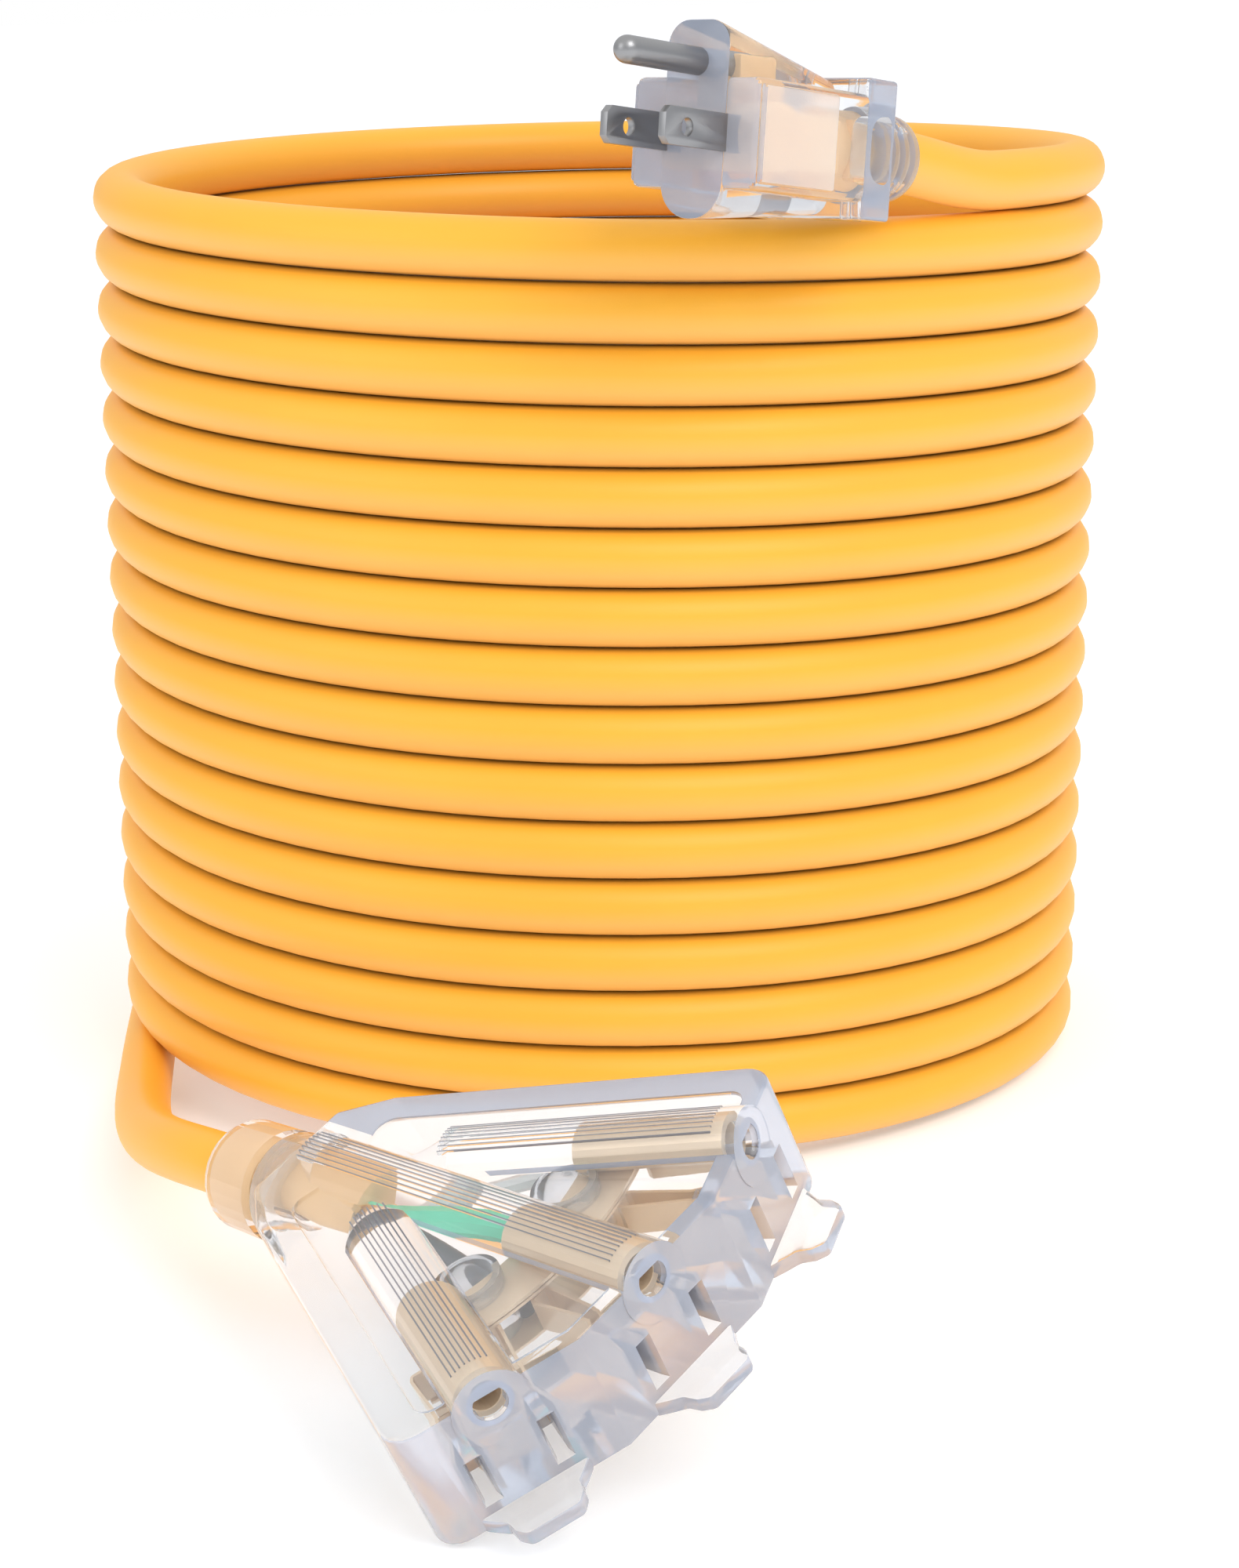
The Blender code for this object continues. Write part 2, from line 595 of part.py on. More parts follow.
plug_m = plug.matrix_world.copy()
rear = plug_m @ Vector((RELIEF_END - GAP, 0, 0))
back = -(plug_m.to_3x3() @ Vector((1, 0, 0)))
start = wound(A0)
lead_a = bezier(rear, back * 0.014, start, heading(A0) * 0.014, 14)
tap_m = tap.matrix_world.copy()
mouth = tap_m @ Vector((-0.0330 - GAP, 0, NECK_Z))
ahead = tap_m.to_3x3() @ Vector((1, 0, 0))
lead_b = bezier(wound(A1), heading(A1) * 0.085, mouth, ahead * 0.035, 18)
floor = CORD_D / 2
lead_b = [Vector((p.x, p.y, max(p.z, floor))) for p in lead_b]
for name, pts in (("cord_lead_plug", lead_a), ("cord_lead_tap", lead_b)):
    tube(name, pts, CORD_D / 2, None, YELLOW, 3)
    # the coil's solid is cut away where the lead leaves it
    d0 = (pts[0] - pts[1]).normalized()
    d1 = (pts[-1] - pts[-2]).normalized()
    way = [pts[0] + d0 * 0.0006] + pts[1:-1] + [pts[-1] + d1 * 0.0006]
    combine(coil, pipe(name + "_way", way, CORD_D / 2 + 0.0005))
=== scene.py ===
"""Heavy-duty extension cord, wound for storage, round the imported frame.
Metres, +Z up, the same axes as the frame: the coil stands on the floor, the
plug lies across its top turn and the triple outlet lies in front of it.
"""
import json
import math

import bmesh
import bpy
from mathutils import Matrix, Vector


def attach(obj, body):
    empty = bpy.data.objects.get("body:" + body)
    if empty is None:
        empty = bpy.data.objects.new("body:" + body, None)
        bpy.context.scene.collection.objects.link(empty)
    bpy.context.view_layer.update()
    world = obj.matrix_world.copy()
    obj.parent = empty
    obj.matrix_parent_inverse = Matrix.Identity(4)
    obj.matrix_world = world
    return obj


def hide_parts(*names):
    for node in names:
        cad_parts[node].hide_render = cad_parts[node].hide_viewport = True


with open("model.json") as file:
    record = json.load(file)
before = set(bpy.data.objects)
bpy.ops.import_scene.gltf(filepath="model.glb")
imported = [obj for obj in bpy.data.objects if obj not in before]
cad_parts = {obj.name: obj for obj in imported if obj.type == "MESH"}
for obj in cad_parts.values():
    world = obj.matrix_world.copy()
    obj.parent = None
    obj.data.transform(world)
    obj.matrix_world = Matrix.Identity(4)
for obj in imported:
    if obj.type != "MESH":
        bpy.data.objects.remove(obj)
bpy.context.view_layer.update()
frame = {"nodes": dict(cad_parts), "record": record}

# ---------------------------------------------------------------------- camera
# Looks slightly down at the front of the coil from eye height of the top turn.
# The whole object sits in the upright frame, so the lens is shifted and not
# tilted further.
eye = Vector((0.00402, -0.63252, 0.22976))
look = Vector((-0.00173, 0.96491, -0.26256))
upward = Vector((0.02900, 0.26250, 0.96450))

camera_data = bpy.data.cameras.new("camera")
camera_data.sensor_fit = "VERTICAL"
camera_data.sensor_height = 36.0
camera_data.lens = 74.6
camera_data.shift_y = 0.0525
camera_data.clip_start = 0.01
camera = bpy.data.objects.new("camera", camera_data)
bpy.context.scene.collection.objects.link(camera)
side = look.cross(upward).normalized()
upward = side.cross(look).normalized()
camera.matrix_world = Matrix((
    (side.x, upward.x, -look.x, eye.x),
    (side.y, upward.y, -look.y, eye.y),
    (side.z, upward.z, -look.z, eye.z),
    (0.0, 0.0, 0.0, 1.0)))
bpy.context.scene.camera = camera

# ------------------------------------------------------------------ plug's place
# The plug's own axes: x out of its face along the prongs, y across the blades,
# z towards the earth pin. They come from the plug face in the record, whose
# point lies below the middle of the blades.
mounts = {m["name"]: m for m in frame["record"]["mounts"]}
PLUG_POINT_LOW = 0.0115

plug_x = Vector(mounts["plug_face"]["axis"]).normalized()
plug_y = Vector((0.0, 0.0, 1.0)).cross(plug_x).normalized()
plug_z = plug_x.cross(plug_y)
plug_at = Vector(mounts["plug_face"]["pos_m"]) + plug_z * PLUG_POINT_LOW
PLUG = Matrix.Translation(plug_at) @ Matrix((
    plug_x, plug_y, plug_z)).transposed().to_4x4()

# ---------------------------------------------------------- triple outlet's place
# The outlet's own axes: x out along the middle outlet, y across the fan, z to
# the earth side. The three outlet axes meet at its origin, 78.9 mm behind
# their faces.
FACE_RHO = 0.0789

tap_x = Vector(mounts["outlet_face_b"]["axis"]).normalized()
tap_y = (Vector(mounts["outlet_face_c"]["pos_m"])
         - Vector(mounts["outlet_face_a"]["pos_m"])).normalized()
tap_z = tap_x.cross(tap_y)
tap_at = Vector(mounts["outlet_face_b"]["pos_m"]) - tap_x * FACE_RHO
TAP = Matrix.Translation(tap_at) @ Matrix((
    tap_x, tap_y, tap_z)).transposed().to_4x4()

# ------------------------------------------------------------------------ cord
# A 10/3 extension cord: three stranded conductors under one round PVC jacket,
# extruded in safety yellow. It runs from inside the plug's strain relief
# through 16.6 touching turns to the cord grip inside the triple outlet's neck.
CORD_D = 0.0115
COIL_R = 0.10145
COIL_START = math.radians(50.0 - 360.0)
COIL_END = math.radians(16 * 360.0 - 86.0)
COIL_FOOT = 0.002875
COIL_TOUCH = math.radians(16 * 360.0 - 90.0)
COIL_AXIS_FOOT = Vector((-0.0027, 0.0809, 0.0))
COIL_LEAN = Matrix.Rotation(math.radians(1.92), 3, Vector((0.5344, 0.8452, 0.0)))
PLUG_RELIEF_END = -0.0575
PLUG_JACKET_END = -0.0315
NECK_Z = 0.00265
TAP_RELIEF_END = -0.0330
TAP_JACKET_END = 0.0080
TURN_STEPS = 72
CORD_SIDES = 28


def wound(a):
    """Point of the coil at angle a from the front, going down."""
    drop = CORD_D / 2 - COIL_FOOT + CORD_D * (COIL_TOUCH - a) / (2 * math.pi)
    return COIL_AXIS_FOOT + COIL_LEAN @ Vector((
        COIL_R * math.sin(a), -COIL_R * math.cos(a), drop))


def winding(a):
    return (wound(a + 0.001) - wound(a - 0.001)).normalized()


def swept(p0, d0, p1, d1, n):
    """Cubic from p0, leaving along d0, to p1, arriving along d1."""
    a, b = p0 + d0, p1 - d1
    return [p0 * (1 - t)**3 + a * 3 * t * (1 - t)**2
            + b * 3 * t * t * (1 - t) + p1 * t**3
            for t in (i / n for i in range(n + 1))]


plug_mouth = PLUG @ Vector((PLUG_RELIEF_END - 0.0003, 0, 0))
tap_mouth = TAP @ Vector((TAP_RELIEF_END - 0.0003, 0, NECK_Z))
into_coil = swept(plug_mouth, -plug_x * 0.014, wound(COIL_START),
                  winding(COIL_START) * 0.014, 14)
out_of_coil = swept(wound(COIL_END), winding(COIL_END) * 0.085, tap_mouth,
                    tap_x * 0.035, 18)
turns = round((COIL_END - COIL_START) / (2 * math.pi) * TURN_STEPS)
cord_line = [PLUG @ Vector((PLUG_JACKET_END, 0, 0)),
             PLUG @ Vector(((PLUG_JACKET_END + PLUG_RELIEF_END) / 2, 0, 0))]
cord_line += into_coil
cord_line += [wound(COIL_START + (COIL_END - COIL_START) * i / turns)
              for i in range(1, turns)]
cord_line += out_of_coil
cord_line += [TAP @ Vector((TAP_RELIEF_END / 2, 0, NECK_Z)),
              TAP @ Vector((TAP_JACKET_END, 0, NECK_Z))]
cord_line = [Vector((p.x, p.y, max(p.z, CORD_D / 2))) for p in cord_line]


def tube_mesh(name, line, radius, sides):
    """Closed round tube along a line, with U round it and V along it in metres."""
    bm = bmesh.new()
    uv = bm.loops.layers.uv.new("UVMap")
    rings, along = [], [0.0]
    across = None
    for i, p in enumerate(line):
        ahead = (line[min(i + 1, len(line) - 1)] - line[max(i - 1, 0)]).normalized()
        if across is None:
            across = ahead.orthogonal().normalized()
        across = (across - ahead * across.dot(ahead)).normalized()
        other = ahead.cross(across)
        rings.append([bm.verts.new(p + radius * (
            across * math.cos(2 * math.pi * k / sides)
            + other * math.sin(2 * math.pi * k / sides))) for k in range(sides)])
        if i:
            along.append(along[-1] + (p - line[i - 1]).length)
    for i, (a, b) in enumerate(zip(rings, rings[1:])):
        for k in range(sides):
            m = (k + 1) % sides
            face = bm.faces.new((a[k], a[m], b[m], b[k]))
            face.smooth = True
            for loop, u, v in zip(face.loops, (k, k + 1, k + 1, k),
                                  (along[i], along[i], along[i + 1], along[i + 1])):
                loop[uv].uv = (u / sides, v)
    bm.faces.new(rings[0][::-1])
    bm.faces.new(rings[-1])
    mesh = bpy.data.meshes.new(name)
    bm.to_mesh(mesh)
    bm.free()
    piece = bpy.data.objects.new(name, mesh)
    bpy.context.scene.collection.objects.link(piece)
    return piece, along[-1]


TURN_GAP = 0.00003
cord, cord_length = tube_mesh("cord", cord_line, CORD_D / 2 - TURN_GAP, CORD_SIDES)


# Fine grain shared by the mouldings and jackets: a soft noise bump, and a slow
# variation of colour and gloss such as handling leaves on new plastic.
def grain_group():
    group = bpy.data.node_groups.new("plastic_grain", "ShaderNodeTree")
    face = group.interface
    for label, kind, value in (("Colour", "NodeSocketColor", (0.8, 0.8, 0.8, 1.0)),
                               ("Roughness", "NodeSocketFloat", 0.4),
                               ("Grain Size", "NodeSocketFloat", 0.0004),
                               ("Grain Depth", "NodeSocketFloat", 0.00001),
                               ("Variation", "NodeSocketFloat", 0.05)):
        socket = face.new_socket(label, in_out="INPUT", socket_type=kind)
        socket.default_value = value
    face.new_socket("Colour", in_out="OUTPUT", socket_type="NodeSocketColor")
    face.new_socket("Roughness", in_out="OUTPUT", socket_type="NodeSocketFloat")
    face.new_socket("Normal", in_out="OUTPUT", socket_type="NodeSocketVector")
    nodes, links = group.nodes, group.links
    start = nodes.new("NodeGroupInput")
    end = nodes.new("NodeGroupOutput")
    where = nodes.new("ShaderNodeTexCoord")
    fine = nodes.new("ShaderNodeTexNoise")
    fine.inputs["Detail"].default_value = 3.0
    per_size = nodes.new("ShaderNodeMath")
    per_size.operation = "DIVIDE"
    per_size.inputs[0].default_value = 1.0
    links.new(start.outputs["Grain Size"], per_size.inputs[1])
    links.new(where.outputs["Object"], fine.inputs["Vector"])
    links.new(per_size.outputs[0], fine.inputs["Scale"])
    bump = nodes.new("ShaderNodeBump")
    links.new(fine.outputs["Fac"], bump.inputs["Height"])
    links.new(start.outputs["Grain Depth"], bump.inputs["Distance"])
    links.new(bump.outputs["Normal"], end.inputs["Normal"])
    slow = nodes.new("ShaderNodeTexNoise")
    slow.inputs["Scale"].default_value = 45.0
    slow.inputs["Detail"].default_value = 4.0
    links.new(where.outputs["Object"], slow.inputs["Vector"])
    centred = nodes.new("ShaderNodeMath")
    centred.operation = "SUBTRACT"
    centred.inputs[1].default_value = 0.5
    links.new(slow.outputs["Fac"], centred.inputs[0])
    amount = nodes.new("ShaderNodeMath")
    amount.operation = "MULTIPLY"
    links.new(centred.outputs[0], amount.inputs[0])
    links.new(start.outputs["Variation"], amount.inputs[1])
    bright = nodes.new("ShaderNodeMath")
    bright.operation = "ADD"
    bright.inputs[1].default_value = 1.0
    links.new(amount.outputs[0], bright.inputs[0])
    tone = nodes.new("ShaderNodeVectorMath")
    tone.operation = "SCALE"
    links.new(start.outputs["Colour"], tone.inputs[0])
    links.new(bright.outputs[0], tone.inputs["Scale"])
    links.new(tone.outputs["Vector"], end.inputs["Colour"])
    rough = nodes.new("ShaderNodeMath")
    rough.operation = "ADD"
    rough.use_clamp = True
    links.new(start.outputs["Roughness"], rough.inputs[0])
    links.new(amount.outputs[0], rough.inputs[1])
    links.new(rough.outputs[0], end.inputs["Roughness"])
    return group


GRAIN = grain_group()


def finish(name, colour, roughness, size, depth, variation, **fixed):
    """Material whose colour, gloss and grain come from the shared group."""
    made = bpy.data.materials.new(name)
    made.use_nodes = True
    tree = made.node_tree
    shader = tree.nodes["Principled BSDF"]
    grain = tree.nodes.new("ShaderNodeGroup")
    grain.node_tree = GRAIN
    grain.inputs["Colour"].default_value = (*colour, 1.0)
    grain.inputs["Roughness"].default_value = roughness
    grain.inputs["Grain Size"].default_value = size
    grain.inputs["Grain Depth"].default_value = depth
    grain.inputs["Variation"].default_value = variation
    tree.links.new(grain.outputs["Colour"], shader.inputs["Base Color"])
    tree.links.new(grain.outputs["Roughness"], shader.inputs["Roughness"])
    tree.links.new(grain.outputs["Normal"], shader.inputs["Normal"])
    for socket, value in fixed.items():
        shader.inputs[socket.replace("_", " ")].default_value = value
    return made


def dress(piece, made):
    piece.data.materials.clear()
    piece.data.materials.append(made)


# Where two turns press on each other the jacket is painted darker, a painted
# shade between the turns, and the underside of each turn is painted paler, a
# painted reflection of the white floor. Both are stored on the mesh, by how far
# each point of a ring faces up or down the coil.
CONTACT_SHADE_FROM = 0.86
CONTACT_SHADE_FALL = 1.5
FLOOR_REFLECTION_FROM = 0.2
LEAD_RINGS = 24
FADE_RINGS = 10.0
JACKET_YELLOW = (0.95, 0.462, 0.038)
JACKET_FLOOR_REFLECTION = (0.93, 0.515, 0.135)
JACKET_CONTACT_SHADE = (0.42, 0.245, 0.045)

rings = len(cord_line)
coil_up = COIL_LEAN @ Vector((0.0, 0.0, 1.0))
top_turn_until = len(into_coil) + 2 + TURN_STEPS
painted_floor_reflection = cord.data.attributes.new("painted_floor_reflection", "FLOAT", "POINT")
painted_contact_shade = cord.data.attributes.new("painted_contact_shade", "FLOAT", "POINT")
for i in range(rings):
    in_coil = min(1.0, max(0.0, min(i, rings - i) - LEAD_RINGS) / FADE_RINGS)
    for k in range(CORD_SIDES):
        v = i * CORD_SIDES + k
        out = (cord.data.vertices[v].co - cord_line[i]).normalized().dot(coil_up)
        near = max(0.0, (abs(out) - CONTACT_SHADE_FROM) / (1.0 - CONTACT_SHADE_FROM))
        if out > 0 and i < top_turn_until:
            near = 0.0
        # darker where the turns touch: a painted shade
        painted_contact_shade.data[v].value = in_coil * near**CONTACT_SHADE_FALL
        # paler on the underside: a painted reflection of the white floor
        painted_floor_reflection.data[v].value = min(1.0, max(0.0, FLOOR_REFLECTION_FROM - out))
yellow_jacket = finish("yellow_jacket", JACKET_YELLOW, 0.45, 0.00035, 0.000012, 0.08,
                       Specular_IOR_Level=0.42)
tree = yellow_jacket.node_tree
shade = None
# mixes in the painted floor reflection on the undersides, then the painted shade where
# the turns touch
for layer, colour in (("painted_floor_reflection", JACKET_FLOOR_REFLECTION), ("painted_contact_shade", JACKET_CONTACT_SHADE)):
    stored = tree.nodes.new("ShaderNodeAttribute")
    stored.attribute_name = layer
    mix = tree.nodes.new("ShaderNodeMix")
    mix.data_type = "RGBA"
    mix.inputs["A"].default_value = (*JACKET_YELLOW, 1.0)
    mix.inputs["B"].default_value = (*colour, 1.0)
    tree.links.new(stored.outputs["Fac"], mix.inputs["Factor"])
    if shade:
        tree.links.new(shade.outputs["Result"], mix.inputs["A"])
    shade = mix
jacket_grain = next(n for n in tree.nodes if n.type == "GROUP")
tree.links.new(shade.outputs["Result"], jacket_grain.inputs["Colour"])
dress(cord, yellow_jacket)

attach(cord, "root")
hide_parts("cord_coil", "cord_lead_plug", "cord_lead_tap",
            "plug_jacket_end", "tap_jacket_end")

# ------------------------------------------------------------------- plug's core
# Tan nylon core, moulded first round the prongs and their crimps. It has a round
# boss on each side, a tower for the earth pin and a cuff round the jacket, and
# the clear vinyl goes over it, so no conductor shows in the plug.
CORE_BOSS_R = 0.0058
CORE_BOSS_X = -0.0096
CORE_BOSS_Y = 0.0112
CORE_BLOCK_X, CORE_BLOCK_Y, CORE_BLOCK_Z = -0.0300, 0.0080, 0.0048
CORE_TOWER_X, CORE_TOWER_Y = (-0.0165, -0.0060), 0.0040
CORE_TOWER_Z = (-0.0046, 0.0138)
CORE_CUFF_R, CORE_CUFF_X = 0.0070, (-0.0400, -0.0280)
CORE_CHEEK_X, CORE_CHEEK_Y, CORE_CHEEK_Z = (-0.0390, -0.0336), 0.0074, 0.0054


def alone():
    bpy.ops.object.select_all(action="DESELECT")


def take(piece):
    alone()
    piece.select_set(True)
    bpy.context.view_layer.objects.active = piece
    return piece


def apply_all(piece):
    take(piece)
    for modifier in list(piece.modifiers):
        bpy.ops.object.modifier_apply(modifier=modifier.name)
    return piece


def brick(x, y, z):
    """Cube primitive stretched between two values along each axis."""
    alone()
    bpy.ops.mesh.primitive_cube_add(size=1.0)
    piece = bpy.context.object
    piece.scale = (x[1] - x[0], y[1] - y[0], z[1] - z[0])
    piece.location = ((x[0] + x[1]) / 2, (y[0] + y[1]) / 2, (z[0] + z[1]) / 2)
    bpy.ops.object.transform_apply(location=True, rotation=True, scale=True)
    return piece


def rod(radius, x, y=0.0, z=0.0, sides=40, tip=None):
    """Cylinder or cone primitive along x; tip is its radius at the far end."""
    alone()
    bpy.ops.mesh.primitive_cone_add(
        vertices=sides, radius1=radius, radius2=radius if tip is None else tip,
        depth=x[1] - x[0], rotation=(0.0, math.pi / 2, 0.0),
        location=((x[0] + x[1]) / 2, y, z))
    bpy.ops.object.transform_apply(location=True, rotation=True, scale=True)
    return bpy.context.object


def upright_rod(radius, x, y, z, sides=24):
    alone()
    bpy.ops.mesh.primitive_cylinder_add(vertices=sides, radius=radius,
                                        depth=z[1] - z[0],
                                        location=(x, y, (z[0] + z[1]) / 2))
    bpy.ops.object.transform_apply(location=True, rotation=True, scale=True)
    return bpy.context.object


def cross_rod(radius, y, x=0.0, z=0.0, sides=32):
    alone()
    bpy.ops.mesh.primitive_cylinder_add(
        vertices=sides, radius=radius, depth=y[1] - y[0],
        rotation=(math.pi / 2, 0.0, 0.0), location=(x, (y[0] + y[1]) / 2, z))
    bpy.ops.object.transform_apply(location=True, rotation=True, scale=True)
    return bpy.context.object


def softened(piece, width, segments=2, angle=35.0):
    bevel = piece.modifiers.new("edges", "BEVEL")
    bevel.width = width
    bevel.segments = segments
    bevel.limit_method = "ANGLE"
    bevel.angle_limit = math.radians(angle)
    return apply_all(piece)


def merged(piece, *others, operation="UNION"):
    """Joins the others to the piece, or cuts them out of it, and removes them."""
    for other in others:
        boolean = piece.modifiers.new("with", "BOOLEAN")
        boolean.operation = operation
        boolean.solver = "MANIFOLD"
        boolean.object = other
        apply_all(piece)
        bpy.data.objects.remove(other, do_unlink=True)
    return piece


def cut(piece, *others):
    return merged(piece, *others, operation="DIFFERENCE")


def settled(piece, name, where, smooth=35.0):
    """Names a piece modelled in the plug's or outlet's axes and puts it there."""
    piece.name = piece.data.name = name
    take(piece)
    piece.matrix_world = where
    bpy.ops.object.transform_apply(location=True, rotation=True, scale=True)
    bpy.ops.object.mode_set(mode="EDIT")
    bpy.ops.mesh.select_all(action="SELECT")
    bpy.ops.mesh.remove_doubles(threshold=0.000002)
    bpy.ops.mesh.normals_make_consistent(inside=False)
    bpy.ops.object.mode_set(mode="OBJECT")
    bpy.ops.object.shade_smooth_by_angle(angle=math.radians(smooth))
    return piece


core = softened(cross_rod(CORE_BOSS_R, (-CORE_BOSS_Y, CORE_BOSS_Y),
                          CORE_BOSS_X, 0.0, 40), 0.0005)
merged(core,
       softened(brick((CORE_BLOCK_X, CORE_BOSS_X), (-CORE_BLOCK_Y, CORE_BLOCK_Y),
                      (-CORE_BLOCK_Z, CORE_BLOCK_Z)), 0.0008),
       softened(brick(CORE_TOWER_X, (-CORE_TOWER_Y, CORE_TOWER_Y), CORE_TOWER_Z),
                0.0007),
       softened(rod(CORE_CUFF_R, CORE_CUFF_X, sides=36), 0.0004),
       softened(brick(CORE_CHEEK_X, (-CORE_CHEEK_Y, CORE_CHEEK_Y),
                      (-CORE_CHEEK_Z, CORE_CHEEK_Z)), 0.0012))
core = settled(core, "plug_core", PLUG)
tan_insert = finish("tan_insert", (0.93, 0.59, 0.28), 0.45, 0.0004, 0.00001, 0.08)
dress(core, tan_insert)
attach(core, "root")
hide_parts("plug_blade_holder", "plug_wire_hot", "plug_wire_neutral",
            "plug_wire_earth", "plug_crimp_hot", "plug_crimp_neutral",
            "plug_crimp_earth")

# ----------------------------------------------------------------------- prongs
# Two flat blades and a round-ended earth pin, pressed from brass and nickel
# plated. The blades are sheared with chamfered tips and a round eye. The core
# holds the root of each.
BLADE_Y = 0.0127 / 2
BLADE_HALF_T = 0.00152 / 2
BLADE_HALF_H = 0.00635 / 2
BLADE_L = 0.0165
BLADE_EYE_X, BLADE_EYE_R = 0.0106, 0.00155
BLADE_CHAMFER, BLADE_EDGE = 0.0012, 0.00022
PRONG_ROOT = -0.0118
PIN_Z = 0.0119
PIN_R = 0.00238
PIN_L = 0.0214

nickel = finish("nickel_plate", (0.33, 0.33, 0.335), 0.36, 0.0003, 0.000010, 0.10,
                Metallic=1.0)
for name, y in (("plug_blade_hot", BLADE_Y), ("plug_blade_neutral", -BLADE_Y)):
    blade = brick((PRONG_ROOT, BLADE_L), (y - BLADE_HALF_T, y + BLADE_HALF_T),
                  (-BLADE_HALF_H, BLADE_HALF_H))
    bpy.ops.object.mode_set(mode="EDIT")
    bpy.ops.mesh.select_mode(type="EDGE")
    bpy.ops.mesh.select_all(action="DESELECT")
    bpy.ops.object.mode_set(mode="OBJECT")
    for edge in blade.data.edges:  # the two corners of the tip
        a, b = (blade.data.vertices[i].co for i in edge.vertices)
        edge.select = min(a.x, b.x) > 0 and abs(a.z - b.z) < 1e-6
    bpy.ops.object.mode_set(mode="EDIT")
    bpy.ops.mesh.bevel(offset=BLADE_CHAMFER, segments=1)
    bpy.ops.object.mode_set(mode="OBJECT")
    cut(blade, cross_rod(BLADE_EYE_R, (y - 0.002, y + 0.002), BLADE_EYE_X))
    softened(blade, BLADE_EDGE, 2, 40.0)
    blade = settled(blade, name + "_plated", PLUG, 30.0)
    dress(blade, nickel)
    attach(blade, "root")
    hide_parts(name)

pin = rod(PIN_R, (PRONG_ROOT, PIN_L - PIN_R), 0.0, PIN_Z, 48)
alone()
bpy.ops.mesh.primitive_uv_sphere_add(segments=48, ring_count=24, radius=PIN_R,
                                     rotation=(0.0, math.pi / 2, 0.0),
                                     location=(PIN_L - PIN_R, 0.0, PIN_Z))
bpy.ops.object.transform_apply(location=True, rotation=True, scale=True)
merged(pin, bpy.context.object)
pin = settled(pin, "plug_earth_pin_plated", PLUG, 40.0)
dress(pin, nickel)
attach(pin, "root")
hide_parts("plug_earth_pin")

# -------------------------------------------------------------------- plug body
# Clear vinyl moulded over the core and the cord: an upright lobe that slopes
# back from the earth pin, square wings behind the blades, a raised grip on each
# side, and a square rear flange with moulding dimples and a D-shaped window.
WING_Y, WING_Z = 0.0136, 0.0094
WING_X = (-0.0365, -0.0002)
LOBE_Y, LOBE_LOW, LOBE_TOP = 0.0068, -0.0147, 0.0190
LOBE_BACK, LOBE_R, LOBE_BACK_R = -0.0330, 0.0064, 0.0035
FLANGE_X = (-0.0405, -0.0318)
FLANGE_Y, FLANGE_Z = 0.0138, 0.0123
GRIP_X, GRIP_Z, GRIP_RISE = (-0.0225, -0.0010), 0.0084, 0.0009
WINDOW = [(-0.0393, -0.0062), (-0.0333, -0.0054), (-0.0333, 0.0054),
          (-0.0393, 0.0062)]
WINDOW_R = [0.0018, 0.0032, 0.0032, 0.0018]
WINDOW_DEEP = 0.0062
DIMPLE_R, DIMPLE_Z = 0.00085, (0.0088, 0.0130)
DIMPLE_X, DIMPLE_Y = (-0.0343, -0.0379), 0.0085
SKIN = 0.0003


def arcs(points, radii, steps=6):
    """Outline whose corners are rounded by their radii."""
    out = []
    for i, radius in enumerate(radii):
        p = Vector(points[i])
        a, b = Vector(points[i - 1]), Vector(points[(i + 1) % len(points)])
        if radius <= 0:
            out.append(tuple(p))
            continue
        to_a, to_b = (a - p).normalized(), (b - p).normalized()
        half = to_a.angle(to_b) / 2
        centre = p + (to_a + to_b).normalized() * (radius / math.sin(half))
        reach = radius / math.tan(half)
        first, last = p + to_a * reach - centre, p + to_b * reach - centre
        begin = math.atan2(first.y, first.x)
        turn = math.atan2(last.y, last.x) - begin
        turn = (turn + math.pi) % (2 * math.pi) - math.pi
        out += [(centre.x + radius * math.cos(begin + turn * k / steps),
                 centre.y + radius * math.sin(begin + turn * k / steps))
                for k in range(steps + 1)]
    return out


def slab(outline, low, high, far=None):
    """Outline drawn as one face and extruded from low to high along z; far is
    the outline that it ends in."""
    alone()
    bpy.ops.mesh.primitive_circle_add(vertices=len(outline), fill_type="NGON")
    piece = bpy.context.object
    for vertex, (a, b) in zip(piece.data.vertices, outline):
        vertex.co = (a, b, low)
    bpy.ops.object.mode_set(mode="EDIT")
    bpy.ops.mesh.select_all(action="SELECT")
    bpy.ops.mesh.extrude_region_move(
        TRANSFORM_OT_translate={"value": (0.0, 0.0, high - low)})
    bpy.ops.object.mode_set(mode="OBJECT")
    if far:
        for vertex in piece.data.vertices:
            if abs(vertex.co.z - high) < 1e-7:
                gaps = [(Vector(q) - vertex.co.xy).length for q in outline]
                vertex.co.x, vertex.co.y = far[gaps.index(min(gaps))]
    bpy.ops.object.mode_set(mode="EDIT")
    bpy.ops.mesh.select_all(action="SELECT")
    bpy.ops.mesh.normals_make_consistent(inside=False)
    bpy.ops.object.mode_set(mode="OBJECT")
    return piece


STAND = Matrix(((0, 0, 1, 0), (1, 0, 0, 0), (0, 1, 0, 0), (0, 0, 0, 1)))


def stood(piece):
    """Turns a slab whose outline is (y, z) so that it is extruded along x."""
    take(piece)
    piece.matrix_world = STAND
    bpy.ops.object.transform_apply(location=True, rotation=True, scale=True)
    return piece


def lobe_outline(half, low, top, radius):
    return arcs([(-half, low), (half, low), (half, top), (-half, top)],
                [radius, radius, radius * 0.7, radius * 0.7], 8)


